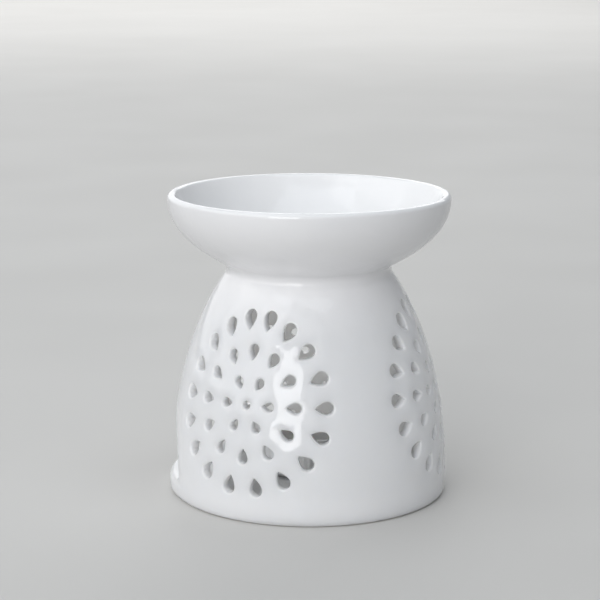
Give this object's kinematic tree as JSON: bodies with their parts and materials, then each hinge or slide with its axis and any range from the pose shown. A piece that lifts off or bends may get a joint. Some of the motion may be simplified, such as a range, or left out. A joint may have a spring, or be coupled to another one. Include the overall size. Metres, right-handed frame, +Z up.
{
  "type": "essential oil burner",
  "caption": "Glazed porcelain oil burner: bell-shaped body pierced with teardrop rosettes, a fixed dish on top and an arched opening behind for a tealight.",
  "frame": {"origin": "middle of the foot, on the surface that the burner stands on", "axes": "+Z up; the opening for the tealight faces +Y and the front rosette faces -Y"},
  "size_m": [0.107, 0.1075, 0.115],
  "materials": {
    "glazed_porcelain": "clear gloss glaze over white porcelain",
    "pressed_aluminium": "thin pressed foil, satin",
    "white_wax": "pressed paraffin wax, slightly translucent",
    "cotton_wick": "waxed braided cotton",
    "tinned_steel": "tin-plated sheet"
  },
  "bodies": {
    "burner": {"pierced_body": "glazed_porcelain", "oil_dish": "glazed_porcelain"},
    "tealight": {"tealight_cup": "pressed_aluminium", "tealight_wax": "white_wax", "wick": "cotton_wick", "wick_sustainer": "tinned_steel"}
  },
  "joints": [
    {"name": "tealight_slide", "type": "slide", "parent": "burner", "child": "tealight", "axis": [0, 1, 0], "range_m": [0, 0.08]}
  ]
}
